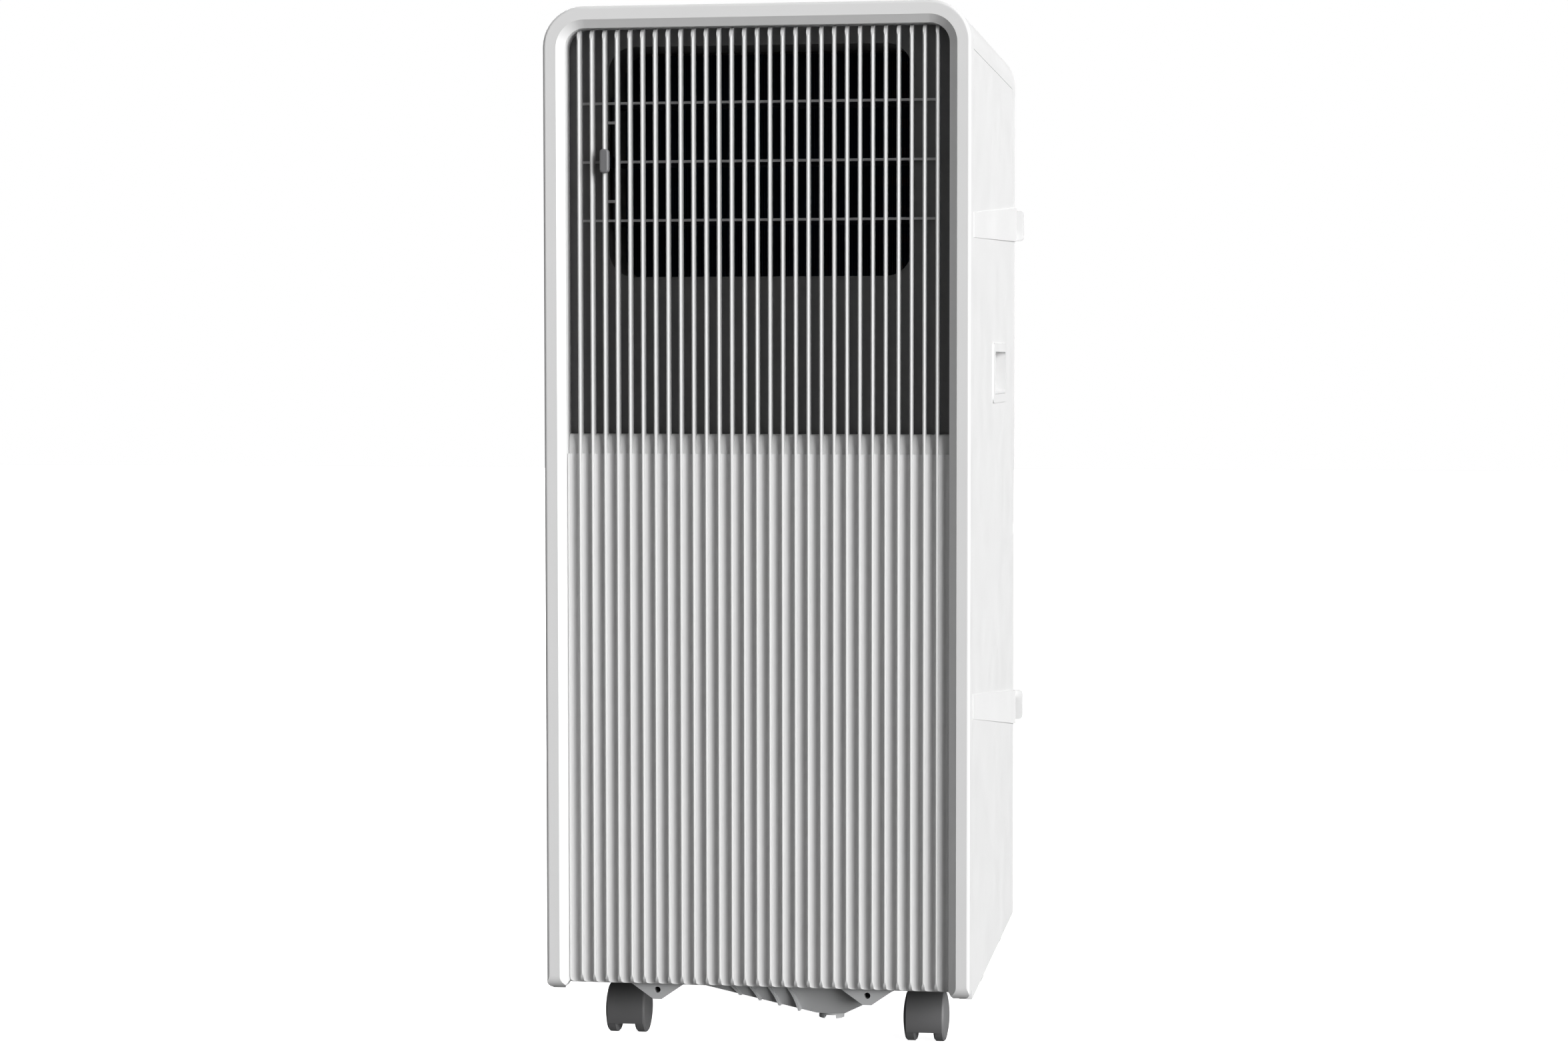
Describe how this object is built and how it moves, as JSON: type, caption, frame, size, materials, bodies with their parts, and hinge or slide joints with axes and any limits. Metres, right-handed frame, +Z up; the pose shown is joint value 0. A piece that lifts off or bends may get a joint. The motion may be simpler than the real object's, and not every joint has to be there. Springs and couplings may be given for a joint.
{
  "type": "portable air conditioner",
  "caption": "Free-standing portable air conditioner with a ribbed front outlet, adjustable louvres, slide-out filters, rear exhaust collar and swivel casters.",
  "frame": {"origin": "on the floor under the middle of the unit's bounding box", "axes": "+Z up, front outlet faces -Y, +X to the right seen from the front"},
  "size_m": [0.3067, 0.404, 0.7396],
  "materials": {
    "white_plastic": "satin",
    "dark_plastic": "matte",
    "bar_plastic": "satin",
    "louvre_plastic": "satin",
    "knob_plastic": "satin",
    "gloss_panel": "gloss",
    "button_plastic": "satin",
    "grey_plastic": "matte",
    "caster_plastic": "satin",
    "wheel_plastic": "satin",
    "fan_plastic": "satin",
    "motor_metal": "satin",
    "compressor_paint": "gloss",
    "rubber": "matte",
    "coil_fins": "satin",
    "copper": "satin",
    "circuit_board": "satin",
    "screw_steel": "satin",
    "filter_mesh": "matte"
  },
  "bodies": {
    "casing": {"base_pan": "grey_plastic", "blower_housing": "grey_plastic", "blower_motor": "motor_metal", "compressor": "compressor_paint", "compressor_grommets": "rubber", "condenser_coil": "coil_fins", "condenser_fan_housing": "grey_plastic", "condenser_fan_motor": "motor_metal", "control_board": "circuit_board", "control_box": "grey_plastic", "control_overlay": "gloss_panel", "cord_gland": "grey_plastic", "cord_hook_lower": "white_plastic", "cord_hook_upper": "white_plastic", "drain_tray": "grey_plastic", "evaporator_coil": "coil_fins", "exhaust_collar": "white_plastic", "front_baffle": "dark_plastic", "front_frame": "white_plastic", "front_grille": "white_plastic", "grille_cross_bars": "bar_plastic", "handle_cup_left": "white_plastic", "handle_cup_right": "white_plastic", "housing_screws": "screw_steel", "outlet_duct": "dark_plastic", "rear_cover": "white_plastic", "refrigerant_pipes": "copper", "side_panel_left": "white_plastic", "side_panel_right": "white_plastic", "top_cover": "white_plastic"},
    "louvre_slider": {"louvre_link": "louvre_plastic", "louvre_knob": "knob_plastic"},
    "louvre_lower": {"louvre_blade_lower": "louvre_plastic"},
    "louvre_middle": {"louvre_blade_middle": "louvre_plastic"},
    "louvre_upper": {"louvre_blade_upper": "louvre_plastic"},
    "upper_filter": {"upper_filter_frame": "white_plastic", "upper_filter_mesh": "filter_mesh"},
    "lower_filter": {"lower_filter_frame": "white_plastic", "lower_filter_mesh": "filter_mesh"},
    "blower": {"blower_wheel": "fan_plastic"},
    "condenser_fan": {"condenser_fan_wheel": "fan_plastic"},
    "lower_drain_plug": {"drain_plug_lower": "rubber"},
    "upper_drain_plug": {"drain_plug_upper": "rubber"},
    "power_button": {"button_power": "button_plastic"},
    "mode_button": {"button_mode": "button_plastic"},
    "speed_button": {"button_speed": "button_plastic"},
    "up_button": {"button_up": "button_plastic"},
    "down_button": {"button_down": "button_plastic"},
    "caster_front_left": {"caster_front_left_housing": "caster_plastic"},
    "caster_front_left_left_wheel": {"caster_front_left_wheel_left": "wheel_plastic"},
    "caster_front_left_right_wheel": {"caster_front_left_wheel_right": "wheel_plastic"},
    "caster_front_right": {"caster_front_right_housing": "caster_plastic"},
    "caster_front_right_left_wheel": {"caster_front_right_wheel_left": "wheel_plastic"},
    "caster_front_right_right_wheel": {"caster_front_right_wheel_right": "wheel_plastic"},
    "caster_rear_left": {"caster_rear_left_housing": "caster_plastic"},
    "caster_rear_left_left_wheel": {"caster_rear_left_wheel_left": "wheel_plastic"},
    "caster_rear_left_right_wheel": {"caster_rear_left_wheel_right": "wheel_plastic"},
    "caster_rear_right": {"caster_rear_right_housing": "caster_plastic"},
    "caster_rear_right_left_wheel": {"caster_rear_right_wheel_left": "wheel_plastic"},
    "caster_rear_right_right_wheel": {"caster_rear_right_wheel_right": "wheel_plastic"}
  },
  "joints": [
    {"name": "knob_slide", "type": "slide", "parent": "casing", "child": "louvre_slider", "axis": [0, 0, 1], "range_m": [-0.012, 0.012]},
    {"name": "louvre_lower_tilt", "type": "hinge", "parent": "casing", "child": "louvre_lower", "pos_m": [0, -0.146, 0.5895], "axis": [1, 0, 0], "range_deg": [-32, 32]},
    {"name": "louvre_middle_tilt", "type": "hinge", "parent": "casing", "child": "louvre_middle", "pos_m": [0, -0.146, 0.6305], "axis": [1, 0, 0], "range_deg": [-32, 32]},
    {"name": "louvre_upper_tilt", "type": "hinge", "parent": "casing", "child": "louvre_upper", "pos_m": [0, -0.146, 0.6715], "axis": [1, 0, 0], "range_deg": [-32, 32]},
    {"name": "upper_filter_slide", "type": "slide", "parent": "casing", "child": "upper_filter", "axis": [-1, 0, 0], "range_m": [0, 0.27]},
    {"name": "lower_filter_slide", "type": "slide", "parent": "casing", "child": "lower_filter", "axis": [-1, 0, 0], "range_m": [0, 0.27]},
    {"name": "blower_spin", "type": "hinge", "parent": "casing", "child": "blower", "pos_m": [0, -0.05, 0.63], "axis": [0, 1, 0], "continuous": true},
    {"name": "condenser_fan_spin", "type": "hinge", "parent": "casing", "child": "condenser_fan", "pos_m": [0, 0.083, 0.23], "axis": [0, 1, 0], "continuous": true},
    {"name": "lower_drain_plug_pull", "type": "slide", "parent": "casing", "child": "lower_drain_plug", "axis": [0, 1, 0], "range_m": [0, 0.02]},
    {"name": "upper_drain_plug_pull", "type": "slide", "parent": "casing", "child": "upper_drain_plug", "axis": [0, 1, 0], "range_m": [0, 0.02]},
    {"name": "power_button_press", "type": "slide", "parent": "casing", "child": "power_button", "axis": [0, 0, -1], "range_m": [0, 0.0012], "stiffness_N_per_m": 600},
    {"name": "mode_button_press", "type": "slide", "parent": "casing", "child": "mode_button", "axis": [0, 0, -1], "range_m": [0, 0.0012], "stiffness_N_per_m": 600},
    {"name": "speed_button_press", "type": "slide", "parent": "casing", "child": "speed_button", "axis": [0, 0, -1], "range_m": [0, 0.0012], "stiffness_N_per_m": 600},
    {"name": "up_button_press", "type": "slide", "parent": "casing", "child": "up_button", "axis": [0, 0, -1], "range_m": [0, 0.0012], "stiffness_N_per_m": 600},
    {"name": "down_button_press", "type": "slide", "parent": "casing", "child": "down_button", "axis": [0, 0, -1], "range_m": [0, 0.0012], "stiffness_N_per_m": 600},
    {"name": "caster_front_left_swivel", "type": "hinge", "parent": "casing", "child": "caster_front_left", "pos_m": [-0.1082, -0.1, 0.05], "axis": [0, 0, 1], "continuous": true},
    {"name": "caster_front_left_left_roll", "type": "hinge", "parent": "caster_front_left", "child": "caster_front_left_left_wheel", "pos_m": [-0.10799, -0.115, 0.018], "axis": [-0.9999, -0.014, 0], "continuous": true},
    {"name": "caster_front_left_right_roll", "type": "hinge", "parent": "caster_front_left", "child": "caster_front_left_right_wheel", "pos_m": [-0.10799, -0.115, 0.018], "axis": [-0.9999, -0.014, 0], "continuous": true},
    {"name": "caster_front_right_swivel", "type": "hinge", "parent": "casing", "child": "caster_front_right", "pos_m": [0.111, -0.1, 0.05], "axis": [0, 0, 1], "continuous": true},
    {"name": "caster_front_right_left_roll", "type": "hinge", "parent": "caster_front_right", "child": "caster_front_right_left_wheel", "pos_m": [0.11089, -0.115, 0.018], "axis": [-1, 0.007, 0], "continuous": true},
    {"name": "caster_front_right_right_roll", "type": "hinge", "parent": "caster_front_right", "child": "caster_front_right_right_wheel", "pos_m": [0.11089, -0.115, 0.018], "axis": [-1, 0.007, 0], "continuous": true},
    {"name": "caster_rear_left_swivel", "type": "hinge", "parent": "casing", "child": "caster_rear_left", "pos_m": [-0.1082, 0.116, 0.05], "axis": [0, 0, 1], "continuous": true},
    {"name": "caster_rear_left_left_roll", "type": "hinge", "parent": "caster_rear_left", "child": "caster_rear_left_left_wheel", "pos_m": [-0.10663, 0.13092, 0.018], "axis": [0.9945, -0.1045, 0], "continuous": true},
    {"name": "caster_rear_left_right_roll", "type": "hinge", "parent": "caster_rear_left", "child": "caster_rear_left_right_wheel", "pos_m": [-0.10663, 0.13092, 0.018], "axis": [0.9945, -0.1045, 0], "continuous": true},
    {"name": "caster_rear_right_swivel", "type": "hinge", "parent": "casing", "child": "caster_rear_right", "pos_m": [0.111, 0.116, 0.05], "axis": [0, 0, 1], "continuous": true},
    {"name": "caster_rear_right_left_roll", "type": "hinge", "parent": "caster_rear_right", "child": "caster_rear_right_left_wheel", "pos_m": [0.10788, 0.13067, 0.018], "axis": [0.9781, 0.2079, 0], "continuous": true},
    {"name": "caster_rear_right_right_roll", "type": "hinge", "parent": "caster_rear_right", "child": "caster_rear_right_right_wheel", "pos_m": [0.10788, 0.13067, 0.018], "axis": [0.9781, 0.2079, 0], "continuous": true}
  ],
  "couplings": [
    {"joint": "louvre_lower_tilt", "follows": "knob_slide", "rad_per_m": -43.633},
    {"joint": "louvre_middle_tilt", "follows": "knob_slide", "rad_per_m": -43.633},
    {"joint": "louvre_upper_tilt", "follows": "knob_slide", "rad_per_m": -43.633}
  ]
}
